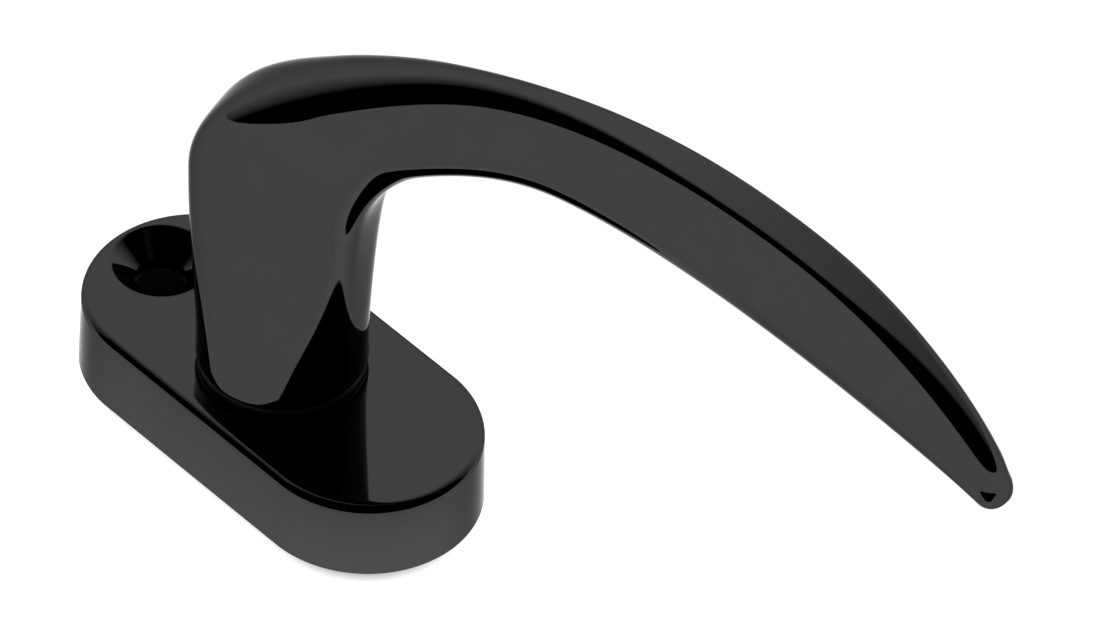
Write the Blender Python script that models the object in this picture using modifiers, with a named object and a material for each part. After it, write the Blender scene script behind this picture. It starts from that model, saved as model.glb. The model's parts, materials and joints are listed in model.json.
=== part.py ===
"""Tilt and turn window handle: a sabre-shaped lever on an obround rosette, with its click mechanism.

Lengths are in millimetres and become metres as each mesh is made. The origin lies on the
spindle axis in the face of the sash, +Z points into the room and +X runs along the rosette,
towards the end that the lever covers when the window is closed. The lever's own frame turns
with it: its reach runs along the frame's x, and its height along z.
"""

import math

import bmesh
import bpy
from mathutils import Vector

MM = 0.001
MERGE = 0.00002
GAP = 0.3

# Rosette cover
ROSETTE_LENGTH = 57.8
ROSETTE_WIDTH = 28.0
ROSETTE_HEIGHT = 10.35
ROSETTE_DRAFT = 0.25
RIM_RADIUS = 0.75
RIM_SWEEP = 71.6
RIM_SLOPE_WIDTH = 0.6
RIM_SLOPE_DROP = 0.2
COVER_WALL = 1.8
COVER_TOP = 2.0
END_STEPS = 18

# Fixing points
FIXING_PITCH = 43.0
FIXING_RADIUS = 3.1
RECESS_RADIUS = 5.3
RECESS_LIP = 0.6
RECESS_DEPTH = 2.7
RECESS_BOSS_RADIUS = 5.9
RECESS_BOSS_DROP = 1.9
PIP_RADIUS = 5.0
PIP_SPIGOT = 4.2
PIP_PROUD = 2.5

# Plates behind the cover
BACK_PLATE_THICKNESS = 1.2
BACK_PLATE_HOLE = 7.9
BASE_TOP = 8.0
BASE_HALF_WIDTH = 11.5
BASE_HALF_LENGTH = 26.8
CLIP_SLOT_DEPTH = 1.3
CLIP_SLOT_WIDTH = 6.0
CLIP_WIDTH = 4.8
BASE_BOTTOM = BACK_PLATE_THICKNESS + GAP
SCREW_RADIUS = 0.9
SCREW_X = 12.9
SCREW_Y = 8.6
SCREW_LENGTH = 4.4

# Click mechanism, round the drive sleeve
CAM_RADIUS = 9.2
CAM_NOTCH_DEPTH = 0.8
CAM_HALF_NOTCH = 12.0
CAM_STEPS = 72
CAM_BOTTOM = 2.4
CAM_THICKNESS = 2.6
CHAMBER_RADIUS = 9.6
CHAMBER_TOP = 6.7
BALL_RADIUS = 1.5
POCKET_RADIUS = 1.75
POCKET_END = 17.6
SPRING_WIRE_RADIUS = 0.17
SPRING_COIL_RADIUS = 1.2
SPRING_TURNS = 5
WASHER_THICKNESS = 0.4
WAVE_HEIGHT = 0.1

# Bearing bush
SHANK_RADIUS = 7.3
BUSH_RADIUS = 8.4
BUSH_FLANGE_RADIUS = 10.0
BUSH_FLANGE_TOP = 11.4

# Drive sleeve and spindle socket
SOCKET_WIDTH = 7.1
SLEEVE_RADIUS = 5.7
SLEEVE_FLAT = 5.2
SLEEVE_FOOT_RADIUS = 6.5
SLEEVE_FOOT_FLAT = 6.0
SLEEVE_BOTTOM = 0.4
SLEEVE_TOP = 30.0
GRIP_SPRING_BOTTOM = 9.0
GRIP_SPRING_BOW = 0.45
GRIP_SPRING_THICKNESS = 0.25
GRIP_SPRING_HALF_WIDTH = 2.0
GRIP_SPRING_RECESS = 0.6
GRIP_SPRING_STEPS = 12
CIRCLIP_BOTTOM = 1.5
CIRCLIP_THICKNESS = 0.6
CIRCLIP_SEAT_RADIUS = 5.95

# Lever
REST_ANGLE = 20.0
NECK_RADIUS = 10.2
NECK_FILLET = 0.4
NECK_BOTTOM = 11.7
HALF_POINTS = 16

# Outline of the lever from the side, as (reach, height). Each stretch is a cubic from the last
# point, through two handles, to its own end. OUTER runs up the back of the neck and along the
# crest, and INNER up the front of the neck and along the grip's underside.
OUTER = (
    (-10.2, 12.1),
    ((-10.4, 22.0), (-11.1, 32.0), (-11.2, 40.0)),
    ((-11.3, 46.6), (-5.8, 53.5), (6.0, 59.7)),
    ((17.5, 65.6), (27.0, 67.5), (38.0, 66.9)),
    ((55.5, 65.8), (82.2, 55.7), (92.4, 35.5)),
)
INNER = (
    (10.2, 12.1),
    ((10.0, 18.0), (9.8, 28.0), (10.8, 36.0)),
    ((11.5, 41.6), (13.0, 47.0), (21.0, 50.8)),
    ((25.6, 53.0), (31.0, 54.4), (37.0, 53.6)),
    ((54.5, 51.3), (74.1, 39.4), (89.6, 32.4)),
)
STRETCH_STEPS = (7, 13, 9, 16)
FINE_STEPS = 60
TIP_STEPS = 5
TIP_LENGTH = 2.9

# Section of the lever. Each pair is where a change along the lever starts and ends. The neck is
# round at its foot, and narrows upwards to a flat-sided blade. The blade turns over into the
# grip's section, which slims, gains a flat band along its crest and tapers to a round tip.
TURN_OVER = (-11.0, 3.0)
SLIMMING = (0.0, 34.0)
TAPERING = (48.0, 96.0)
NECK_HALF_WIDTH = 6.75
NECK_WAISTING = (12.0, 38.0)
SQUARING = (12.0, 38.0)
SQUARENESS = 3.8
GRIP_HALF_WIDTH = 4.2
GRIP_TAPER = 1.1
WIDEST_DROP = 0.08
BAND_HALF_WIDTH = 2.1
BAND_GROWTH = (20.0, 58.0)
BAND_FADING = (68.0, 92.0)
EDGE_RADIUS = 0.7
EDGE_SHARPENING = (-6.0, 56.0)
HEAD_ROUNDING = 6.9
TIP_ROUNDING = 2.1
TIP_GROWTH = (68.0, 92.0)
TOP_POINTS = 7
SIDE_POINTS = 3

MATERIALS = {
    "gloss_black": ((0.012, 0.012, 0.013), 0.07, 0.0),
    "black_nylon": ((0.02, 0.02, 0.02), 0.45, 0.0),
    "cast_zinc": ((0.42, 0.43, 0.44), 0.42, 0.9),
    "plated_steel": ((0.62, 0.62, 0.6), 0.28, 1.0),
    "spring_steel": ((0.36, 0.36, 0.37), 0.3, 1.0),
}


def clear_scene():
    """Removes whatever the file opened with."""
    for obj in list(bpy.data.objects):
        bpy.data.objects.remove(obj, do_unlink=True)


def new_collection(name):
    """A collection linked to the scene."""
    made = bpy.data.collections.new(name)
    bpy.context.scene.collection.children.link(made)
    return made


def finish_material(name, finish):
    """A sub-part's own Principled material, in one of the named finishes."""
    colour, roughness, metallic = MATERIALS[finish]
    material = bpy.data.materials.new(name + "_finish")
    material.use_nodes = True
    shader = material.node_tree.nodes["Principled BSDF"]
    shader.inputs["Base Color"].default_value = (*colour, 1.0)
    shader.inputs["Roughness"].default_value = roughness
    shader.inputs["Metallic"].default_value = metallic
    material.diffuse_color = (*colour, 1.0)
    return material


class Builder:
    """Adds sub-parts and cutters to their collections, under one parent."""

    def __init__(self, parts, cutters, parent=None):
        self.parts = parts
        self.cutters = cutters
        self.parent = parent

    def place(self, name, mesh, collection):
        """A mesh as an object, with any loose copies of a point merged."""
        work = bmesh.new()
        work.from_mesh(mesh)
        bmesh.ops.remove_doubles(work, verts=work.verts, dist=MERGE)
        bmesh.ops.recalc_face_normals(work, faces=work.faces)
        if work.calc_volume(signed=True) < 0:
            bmesh.ops.reverse_faces(work, faces=work.faces)
        work.to_mesh(mesh)
        work.free()
        mesh.name = name
        obj = bpy.data.objects.new(name, mesh)
        obj.parent = self.parent
        collection.objects.link(obj)
        return obj

    def part(self, name, mesh, finish):
        """A visible sub-part."""
        obj = self.place(name, mesh, self.parts)
        mesh.materials.append(finish_material(name, finish))
        mesh.shade_smooth()
        mesh.set_sharp_from_angle(angle=math.radians(32))
        return obj

    def cutter(self, name, mesh):
        """A hidden shape for a Boolean."""
        obj = self.place(name, mesh, self.cutters)
        obj.hide_render = True
        obj.display_type = "WIRE"
        return obj


def combine(obj, other, operation="DIFFERENCE"):
    """Cuts or joins other to obj."""
    boolean = obj.modifiers.new(other.name, "BOOLEAN")
    boolean.operation = operation
    boolean.object = other
    boolean.solver = "EXACT"


def cylinder(radius, low, high, centre=(0.0, 0.0), segments=48, top_radius=None):
    """An upright cylinder, or a cone when top_radius is given."""
    mesh = bpy.data.meshes.new("cylinder")
    work = bmesh.new()
    bmesh.ops.create_cone(
        work,
        cap_ends=True,
        segments=segments,
        radius1=radius * MM,
        radius2=(radius if top_radius is None else top_radius) * MM,
        depth=(high - low) * MM,
    )
    middle = Vector((centre[0], centre[1], (low + high) / 2)) * MM
    bmesh.ops.translate(work, verts=work.verts, vec=middle)
    work.to_mesh(mesh)
    work.free()
    return mesh


def box(low, high):
    """A box between two corners."""
    mesh = bpy.data.meshes.new("box")
    work = bmesh.new()
    bmesh.ops.create_cube(work, size=1.0)
    size = Vector(high) - Vector(low)
    bmesh.ops.scale(work, verts=work.verts, vec=size * MM)
    bmesh.ops.translate(work, verts=work.verts, vec=(Vector(low) + size / 2) * MM)
    work.to_mesh(mesh)
    work.free()
    return mesh


def turned(profile, closed=False, centre=(0.0, 0.0), steps=48):
    """A profile of (radius, height) points turned about the vertical through centre."""
    mesh = bpy.data.meshes.new("profile")
    points = [(radius * MM, 0.0, height * MM) for radius, height in profile]
    edges = [(i, i + 1) for i in range(len(points) - 1)]
    if closed:
        edges.append((len(points) - 1, 0))
    mesh.from_pydata(points, edges, [])
    guide = bpy.data.objects.new("profile", mesh)
    bpy.context.scene.collection.objects.link(guide)
    screw = guide.modifiers.new("turn", "SCREW")
    screw.steps = steps
    screw.render_steps = steps
    screw.use_merge_vertices = True
    screw.merge_threshold = MERGE
    solid = evaluated_mesh(guide)
    offset = Vector((centre[0], centre[1], 0.0)) * MM
    for vertex in solid.vertices:
        vertex.co += offset
    return solid


def evaluated_mesh(guide):
    """The mesh that a guide object evaluates to. The guide is removed."""
    graph = bpy.context.evaluated_depsgraph_get()
    mesh = bpy.data.meshes.new_from_object(guide.evaluated_get(graph))
    mesh.transform(guide.matrix_world)
    bpy.data.objects.remove(guide, do_unlink=True)
    return mesh


def extruded(outlines, low, high):
    """Flat outlines, the first round the rest, filled and extruded from low to high."""
    curve = bpy.data.curves.new("outline", "CURVE")
    curve.dimensions = "2D"
    curve.fill_mode = "BOTH"
    curve.extrude = (high - low) / 2 * MM
    for outline in outlines:
        spline = curve.splines.new("POLY")
        spline.points.add(len(outline) - 1)
        for point, (x, y) in zip(spline.points, outline):
            point.co = (x * MM, y * MM, 0.0, 1.0)
        spline.use_cyclic_u = True
    guide = bpy.data.objects.new("outline", curve)
    bpy.context.scene.collection.objects.link(guide)
    mesh = evaluated_mesh(guide)
    for vertex in mesh.vertices:
        vertex.co.z += (low + high) / 2 * MM
    if len(outlines) == 1:
        join_flat_faces(mesh)
    return mesh


def join_flat_faces(mesh):
    """Turns the filled ends of an extruded outline into single faces."""
    work = bmesh.new()
    work.from_mesh(mesh)
    bmesh.ops.remove_doubles(work, verts=work.verts, dist=MERGE)
    bmesh.ops.dissolve_limit(
        work, angle_limit=math.radians(0.1), verts=work.verts, edges=work.edges
    )
    work.to_mesh(mesh)
    work.free()


def upright(mesh, front):
    """Stands an extruded outline up: its y becomes height, and it is centred on y = front."""
    for vertex in mesh.vertices:
        x, y, z = vertex.co
        vertex.co = (x, front * MM - z, y)
    return mesh


def arc(radius, start, end, steps, centre=(0.0, 0.0)):
    """Points of an arc, with both ends, from angles in degrees."""
    points = []
    for i in range(steps + 1):
        angle = math.radians(start + (end - start) * i / steps)
        points.append((centre[0] + radius * math.cos(angle), centre[1] + radius * math.sin(angle)))
    return points


def circle(radius, centre=(0.0, 0.0), steps=32):
    """Points round a circle."""
    return arc(radius, 0.0, 360.0, steps, centre)[:-1]


def obround(half_length, half_width, steps=END_STEPS):
    """Points round a straight-sided outline with half-round ends."""
    straight = half_length - half_width
    right = arc(half_width, -90.0, 90.0, steps, (straight, 0.0))
    left = arc(half_width, 90.0, 270.0, steps, (-straight, 0.0))
    return right + left


def flatted_circle(radius, flat, steps=48):
    """A circle with two flats, each at the distance flat from its middle."""
    edge = math.degrees(math.asin(flat / radius))
    half = steps // 2
    return arc(radius, -edge, edge, half) + arc(radius, 180.0 - edge, 180.0 + edge, half)


def loft(rings):
    """A closed solid through rings of (x, y, z) points, with flat ends."""
    mesh = bpy.data.meshes.new("loft")
    work = bmesh.new()
    rows = [[work.verts.new(Vector(point) * MM) for point in ring] for ring in rings]
    for low, high in zip(rows, rows[1:]):
        for i in range(len(low)):
            j = (i + 1) % len(low)
            work.faces.new((low[i], low[j], high[j], high[i]))
    work.faces.new(tuple(reversed(rows[0])))
    work.faces.new(rows[-1])
    work.to_mesh(mesh)
    work.free()
    return mesh


def obround_loft(length, width, levels):
    """An obround block whose outline steps in by an inset at each (height, inset)."""
    rings = []
    for height, inset in levels:
        outline = obround(length / 2 - inset, width / 2 - inset)
        rings.append([(x, y, height) for x, y in outline])
    return loft(rings)


def rim_levels(top, radius, inset, sweep=90.0, steps=4):
    """Levels of a rounded rim that turns in by the angle sweep and ends at the height top."""
    levels = []
    low = top - radius * math.sin(math.radians(sweep))
    for i in range(1, steps + 1):
        angle = math.radians(sweep) * i / steps
        height = low + radius * math.sin(angle)
        levels.append((height, inset + radius * (1 - math.cos(angle))))
    return levels


def build_rosette_cover(fixed):
    """The visible obround shell: a drafted wall, a rounded rim, a bore, and one dished fixing hole."""
    rim_top = ROSETTE_HEIGHT - RIM_SLOPE_DROP
    rim_start = rim_top - RIM_RADIUS * math.sin(math.radians(RIM_SWEEP))
    levels = [(0.0, 0.0), (rim_start, ROSETTE_DRAFT)]
    levels += rim_levels(rim_top, RIM_RADIUS, ROSETTE_DRAFT, RIM_SWEEP)
    levels.append((ROSETTE_HEIGHT, levels[-1][1] + RIM_SLOPE_WIDTH))
    cover = fixed.part(
        "rosette_cover", obround_loft(ROSETTE_LENGTH, ROSETTE_WIDTH, levels), "gloss_black"
    )
    hollow_top = ROSETTE_HEIGHT - COVER_TOP
    hollow = fixed.cutter(
        "cover_hollow",
        obround_loft(
            ROSETTE_LENGTH,
            ROSETTE_WIDTH,
            [(-1.0, COVER_WALL), (hollow_top, COVER_WALL + ROSETTE_DRAFT)],
        ),
    )
    combine(cover, hollow)
    left = (-FIXING_PITCH / 2, 0.0)
    boss_bottom = hollow_top - RECESS_BOSS_DROP
    boss = fixed.cutter(
        "recess_boss", cylinder(RECESS_BOSS_RADIUS, boss_bottom, hollow_top + 1.0, left)
    )
    combine(cover, boss, "UNION")
    combine(cover, fixed.cutter("cover_bore", cylinder(BUSH_RADIUS + GAP, 5.0, 15.0)))
    seat = ROSETTE_HEIGHT - RECESS_DEPTH
    recess = [(0.0, ROSETTE_HEIGHT + 1.0), (RECESS_RADIUS + RECESS_LIP, ROSETTE_HEIGHT + 1.0)]
    recess += [
        (RECESS_RADIUS + RECESS_LIP - x, ROSETTE_HEIGHT - RECESS_LIP + y)
        for x, y in arc(RECESS_LIP, 90.0, 40.0, 4)
    ]
    recess += [(FIXING_RADIUS, seat), (FIXING_RADIUS, boss_bottom - 1.0), (0.0, boss_bottom - 1.0)]
    combine(cover, fixed.cutter("fixing_recess", turned(recess, centre=left)))
    return cover


def build_back_plate(fixed):
    """The pressed steel plate that closes the mechanism against the sash."""
    half = FIXING_PITCH / 2
    outlines = [obround(BASE_HALF_LENGTH, BASE_HALF_WIDTH), circle(BACK_PLATE_HOLE, steps=48)]
    outlines += [circle(PIP_SPIGOT + GAP, (side * half, 0.0)) for side in (-1, 1)]
    outlines += [circle(SCREW_RADIUS + GAP, place, 16) for place in screw_places()]
    plate = extruded(outlines, 0.0, BACK_PLATE_THICKNESS)
    return fixed.part("back_plate", plate, "plated_steel")


def screw_places():
    """Centres of the four small screws through the back plate."""
    return [(x * SCREW_X, y * SCREW_Y) for x in (-1, 1) for y in (-1, 1)]


def build_plate_screws(fixed):
    """Four self-tapping screws that hold the back plate, with sunk hexagon sockets."""
    for number, place in enumerate(screw_places(), start=1):
        radius = SCREW_RADIUS
        shape = [(0.0, SCREW_LENGTH), (radius * 0.6, SCREW_LENGTH)]
        shape += [(radius, SCREW_LENGTH - 0.5), (radius, 0.1), (0.0, 0.1)]
        screw = turned(shape, centre=place, steps=16)
        node = fixed.part(f"back_plate_screw_{number}", screw, "spring_steel")
        socket = fixed.cutter(
            f"screw_socket_{number}", cylinder(0.5, -0.5, 0.9, place, segments=6)
        )
        combine(node, socket)


def build_base_plate(fixed):
    """The cast base that carries the bush, the click springs and the cover's clips."""
    half = FIXING_PITCH / 2
    base = fixed.part(
        "base_plate",
        extruded([obround(BASE_HALF_LENGTH, BASE_HALF_WIDTH)], BASE_BOTTOM, BASE_TOP),
        "cast_zinc",
    )
    combine(base, fixed.cutter("chamber", cylinder(CHAMBER_RADIUS, 0.0, CHAMBER_TOP)))
    combine(base, fixed.cutter("bush_bore", cylinder(BUSH_RADIUS + GAP, 6.0, 9.0)))
    for side, word in ((-1, "left"), (1, "right")):
        place = (side * half, 0.0)
        combine(base, fixed.cutter(f"{word}_hole", cylinder(FIXING_RADIUS, 1.0, 9.0, place, 32)))
        pocket = cylinder(POCKET_RADIUS, 0.0, POCKET_END, segments=16)
        combine(base, fixed.cutter(f"{word}_pocket", laid_along_x(pocket, side)))
        slot_start = side * (BASE_HALF_LENGTH - CLIP_SLOT_DEPTH)
        slot_end = side * (BASE_HALF_LENGTH + 1.0)
        slot = box(
            (min(slot_start, slot_end), -CLIP_SLOT_WIDTH / 2, 0.0),
            (max(slot_start, slot_end), CLIP_SLOT_WIDTH / 2, BASE_TOP + 1.0),
        )
        combine(base, fixed.cutter(f"{word}_clip_slot", slot))
    boss_room = cylinder(
        RECESS_BOSS_RADIUS + GAP,
        ROSETTE_HEIGHT - COVER_TOP - RECESS_BOSS_DROP - GAP,
        BASE_TOP + 1.0,
        (-half, 0.0),
        40,
    )
    combine(base, fixed.cutter("boss_room", boss_room))
    for number, place in enumerate(screw_places(), start=1):
        hole = cylinder(SCREW_RADIUS + GAP, 0.0, SCREW_LENGTH + GAP, place, 16)
        combine(base, fixed.cutter(f"screw_hole_{number}", hole))
    return base


def laid_along_x(mesh, side):
    """Lays an upright mesh along +X or -X at the height of the click balls."""
    height = (CAM_BOTTOM + CAM_THICKNESS / 2) * MM
    for vertex in mesh.vertices:
        x, y, z = vertex.co
        vertex.co = (side * z, side * y, height - x)
    return mesh


def build_fixing_pips(fixed):
    """The nylon pips that locate the rosette in the sash and sleeve the fixing screws."""
    for side, word in ((-1, "left"), (1, "right")):
        edge = 0.4
        profile = [
            (PIP_SPIGOT, BACK_PLATE_THICKNESS),
            (PIP_SPIGOT, -GAP),
            (PIP_RADIUS, -GAP),
            (PIP_RADIUS, edge - PIP_PROUD),
            (PIP_RADIUS - edge, -PIP_PROUD),
            (FIXING_RADIUS, -PIP_PROUD),
            (FIXING_RADIUS, BACK_PLATE_THICKNESS),
        ]
        pip = turned(profile, True, (side * FIXING_PITCH / 2, 0.0), 32)
        fixed.part(f"fixing_pip_{word}", pip, "black_nylon")


def build_cover_clips(fixed):
    """Sprung steel clips, one at each end, that the cover snaps over."""
    thickness = 0.4
    start = BASE_HALF_LENGTH - CLIP_SLOT_DEPTH + GAP
    knee = ROSETTE_LENGTH / 2 - COVER_WALL - ROSETTE_DRAFT - 2 * GAP
    for side, word in ((-1, "left"), (1, "right")):
        route = [(start, 1.8), (start, 3.0), (knee - thickness, 4.6), (start, 6.0)]
        back = [(x + thickness, z) for x, z in reversed(route)]
        outline = [(side * x, z) for x, z in route + back]
        clip = upright(extruded([outline], -CLIP_WIDTH / 2, CLIP_WIDTH / 2), 0.0)
        fixed.part(f"cover_clip_{word}", clip, "spring_steel")


def build_click_sets(fixed):
    """The two steel balls and springs that ride on the cam, at the rosette's ends."""
    height = CAM_BOTTOM + CAM_THICKNESS / 2
    ball_centre = CAM_RADIUS + BALL_RADIUS + GAP / 2
    spring_start = ball_centre + BALL_RADIUS + SPRING_WIRE_RADIUS + GAP / 2
    spring_end = POCKET_END - SPRING_WIRE_RADIUS - GAP / 2
    for side, word in ((-1, "left"), (1, "right")):
        mesh = bpy.data.meshes.new("ball")
        work = bmesh.new()
        bmesh.ops.create_uvsphere(work, u_segments=20, v_segments=12, radius=BALL_RADIUS * MM)
        place = Vector((side * ball_centre, 0.0, height)) * MM
        bmesh.ops.translate(work, verts=work.verts, vec=place)
        work.to_mesh(mesh)
        work.free()
        fixed.part(f"click_ball_{word}", mesh, "plated_steel")
        spring = coil(spring_start, spring_end)
        fixed.part(f"click_spring_{word}", laid_along_x(spring, side), "spring_steel")


def coil(start, end):
    """A small compression spring round z, from one height to another."""
    per_turn = 12
    count = SPRING_TURNS * per_turn
    curve = bpy.data.curves.new("coil", "CURVE")
    curve.dimensions = "3D"
    curve.bevel_depth = SPRING_WIRE_RADIUS * MM
    curve.bevel_resolution = 1
    curve.use_fill_caps = True
    spline = curve.splines.new("POLY")
    spline.points.add(count)
    for i, point in enumerate(spline.points):
        angle = 2 * math.pi * i / per_turn
        x = SPRING_COIL_RADIUS * math.cos(angle)
        y = SPRING_COIL_RADIUS * math.sin(angle)
        z = start + (end - start) * i / count
        point.co = (x * MM, y * MM, z * MM, 1.0)
    guide = bpy.data.objects.new("coil", curve)
    bpy.context.scene.collection.objects.link(guide)
    return evaluated_mesh(guide)


def build_bush(fixed):
    """The flanged nylon bush that the lever's shank turns in."""
    bottom = CAM_BOTTOM + CAM_THICKNESS + 1.75
    flange_bottom = ROSETTE_HEIGHT + GAP
    inner = SHANK_RADIUS + GAP
    profile = [
        (BUSH_FLANGE_RADIUS - 0.15, BUSH_FLANGE_TOP),
        (BUSH_FLANGE_RADIUS, BUSH_FLANGE_TOP - 0.15),
        (BUSH_FLANGE_RADIUS, flange_bottom),
        (BUSH_RADIUS, flange_bottom),
        (BUSH_RADIUS, bottom),
        (inner, bottom),
        (inner, BUSH_FLANGE_TOP),
    ]
    fixed.part("bearing_bush", turned(profile, True), "black_nylon")


def build_thrust_washer(fixed):
    """The steel washer under the base plate's shoulder, which takes the pull on the lever."""
    low = CHAMBER_TOP - GAP - WASHER_THICKNESS
    outlines = [circle(CHAMBER_RADIUS - GAP, steps=40), circle(SLEEVE_FOOT_RADIUS + GAP, steps=40)]
    washer = extruded(outlines, low, low + WASHER_THICKNESS)
    fixed.part("thrust_washer", washer, "plated_steel")


def build_wave_washer(moving):
    """A wave spring washer between the cam and the thrust washer, which takes up play."""
    thickness = 0.25
    middle = (CAM_BOTTOM + CAM_THICKNESS + CHAMBER_TOP - GAP - WASHER_THICKNESS) / 2
    low = middle - thickness / 2
    inner = SLEEVE_FOOT_RADIUS + GAP
    outer = CHAMBER_RADIUS - 3 * GAP
    profile = [(outer, low + thickness), (outer, low), (inner, low), (inner, low + thickness)]
    washer = turned(profile, True, steps=48)
    for vertex in washer.vertices:
        vertex.co.z += WAVE_HEIGHT * MM * math.cos(3 * math.atan2(vertex.co.y, vertex.co.x))
    moving.part("wave_washer", washer, "spring_steel")


def cam_outline():
    """The cam's rim, with a rounded notch at each quarter turn."""
    points = []
    for i in range(CAM_STEPS):
        angle = 360.0 * i / CAM_STEPS
        offset = (angle + 45.0) % 90.0 - 45.0
        radius = CAM_RADIUS
        if abs(offset) < CAM_HALF_NOTCH:
            radius -= CAM_NOTCH_DEPTH * (1 + math.cos(math.pi * offset / CAM_HALF_NOTCH)) / 2
        turn = math.radians(angle)
        points.append((radius * math.cos(turn), radius * math.sin(turn)))
    return points


def build_cam(moving):
    """The four-notch cam, keyed to the drive sleeve by two flats."""
    bore = flatted_circle(SLEEVE_FOOT_RADIUS + GAP, SLEEVE_FOOT_FLAT + GAP)
    cam = extruded([cam_outline(), bore], CAM_BOTTOM, CAM_BOTTOM + CAM_THICKNESS)
    moving.part("click_cam", cam, "cast_zinc")


def build_circlip(moving):
    """The open ring in the sleeve's groove, which keeps the cam on."""
    inner = CIRCLIP_SEAT_RADIUS + GAP / 2
    outer = inner + 1.2
    outline = arc(outer, 30.0, 330.0, 36) + arc(inner, 330.0, 30.0, 36)
    clip = extruded([outline], CIRCLIP_BOTTOM, CIRCLIP_BOTTOM + CIRCLIP_THICKNESS)
    moving.part("circlip", clip, "spring_steel")


def build_drive_sleeve(moving):
    """The steel sleeve with the square socket for the spindle, keyed into the neck by two flats."""
    shoulder = CHAMBER_TOP - GAP
    foot = extruded(
        [flatted_circle(SLEEVE_FOOT_RADIUS, SLEEVE_FOOT_FLAT)], SLEEVE_BOTTOM, shoulder
    )
    sleeve = moving.part("drive_sleeve", foot, "plated_steel")
    stem = extruded([flatted_circle(SLEEVE_RADIUS, SLEEVE_FLAT)], shoulder - 1.0, SLEEVE_TOP)
    combine(sleeve, moving.cutter("sleeve_stem", stem), "UNION")
    half = SOCKET_WIDTH / 2
    socket = box((-half, -half, -1.0), (half, half, SLEEVE_TOP + 1.0))
    combine(sleeve, moving.cutter("spindle_socket", socket))
    slot = box((half - 1.0, -2.3, 8.0), (half + 0.95, 2.3, SLEEVE_TOP + 1.0))
    combine(sleeve, moving.cutter("grip_spring_slot", slot))
    groove_low = CIRCLIP_BOTTOM - GAP / 2
    groove_high = CIRCLIP_BOTTOM + CIRCLIP_THICKNESS + GAP / 2
    ring = [
        (SLEEVE_FOOT_RADIUS + 1.0, groove_high),
        (SLEEVE_FOOT_RADIUS + 1.0, groove_low),
        (CIRCLIP_SEAT_RADIUS, groove_low),
        (CIRCLIP_SEAT_RADIUS, groove_high),
    ]
    combine(sleeve, moving.cutter("circlip_groove", turned(ring, True)))


def build_grip_spring(moving):
    """The bowed leaf in the socket's wall, which grips the spindle."""
    low = GRIP_SPRING_BOTTOM
    high = SLEEVE_TOP - 1.0
    back = SOCKET_WIDTH / 2 + GRIP_SPRING_RECESS
    route = []
    for i in range(GRIP_SPRING_STEPS + 1):
        along = i / GRIP_SPRING_STEPS
        bow = GRIP_SPRING_BOW * math.sin(math.pi * along)
        route.append((back - bow, low + (high - low) * along))
    outline = route + [(x - GRIP_SPRING_THICKNESS, z) for x, z in reversed(route)]
    half_width = GRIP_SPRING_HALF_WIDTH
    leaf = upright(extruded([outline], -half_width, half_width), 0.0)
    moving.part("spindle_grip_spring", leaf, "spring_steel")


def cubic(start, first, second, end, t):
    """A point on a cubic curve."""
    s = 1 - t
    weights = (s**3, 3 * s * s * t, 3 * s * t * t, t**3)
    points = (start, first, second, end)
    return tuple(sum(w * p[k] for w, p in zip(weights, points)) for k in range(2))


def side_points(chain):
    """Points along a side outline, STRETCH_STEPS to each stretch, whose spacing changes smoothly."""
    here = chain[0]
    dense = [here]
    ends = [0]
    for first, second, end in chain[1:]:
        for i in range(1, FINE_STEPS + 1):
            dense.append(cubic(here, first, second, end, i / FINE_STEPS))
        here = end
        ends.append(len(dense) - 1)
    lengths = [0.0]
    for before, after in zip(dense, dense[1:]):
        lengths.append(lengths[-1] + math.dist(before, after))
    points = []
    k = 0
    for place in even_lengths([lengths[end] for end in ends]):
        while k < len(lengths) - 2 and lengths[k + 1] < place:
            k += 1
        t = min(max((place - lengths[k]) / (lengths[k + 1] - lengths[k]), 0.0), 1.0)
        points.append(tuple(dense[k][j] * (1 - t) + dense[k + 1][j] * t for j in range(2)))
    return points


def even_lengths(knots):
    """The length along an outline at each of its points.

    knots holds the length at each stretch's end, with 0 first, and a monotone cubic joins them.
    """
    slopes = [(b - a) / n for a, b, n in zip(knots, knots[1:], STRETCH_STEPS)]
    speeds = [slopes[0]]
    for before, after, n, m in zip(slopes, slopes[1:], STRETCH_STEPS, STRETCH_STEPS[1:]):
        first, second = 2 * m + n, m + 2 * n
        speeds.append((first + second) / (first / before + second / after))
    speeds.append(slopes[-1])
    lengths = [knots[0]]
    for k, n in enumerate(STRETCH_STEPS):
        for i in range(1, n + 1):
            t = i / n
            ends = knots[k] * (1 + 2 * t) * (1 - t) ** 2 + knots[k + 1] * t * t * (3 - 2 * t)
            pull = speeds[k] * t * (1 - t) ** 2 - speeds[k + 1] * t * t * (1 - t)
            lengths.append(ends + pull * n)
    return lengths


def ramp(low, high, value):
    """0 below low, 1 above high, and a straight change between them."""
    return min(max((value - low) / (high - low), 0.0), 1.0)


def smooth_step(low, high, value):
    """0 below low, 1 above high, and an even ease between them."""
    t = ramp(low, high, value)
    return t * t * (3 - 2 * t)


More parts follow.
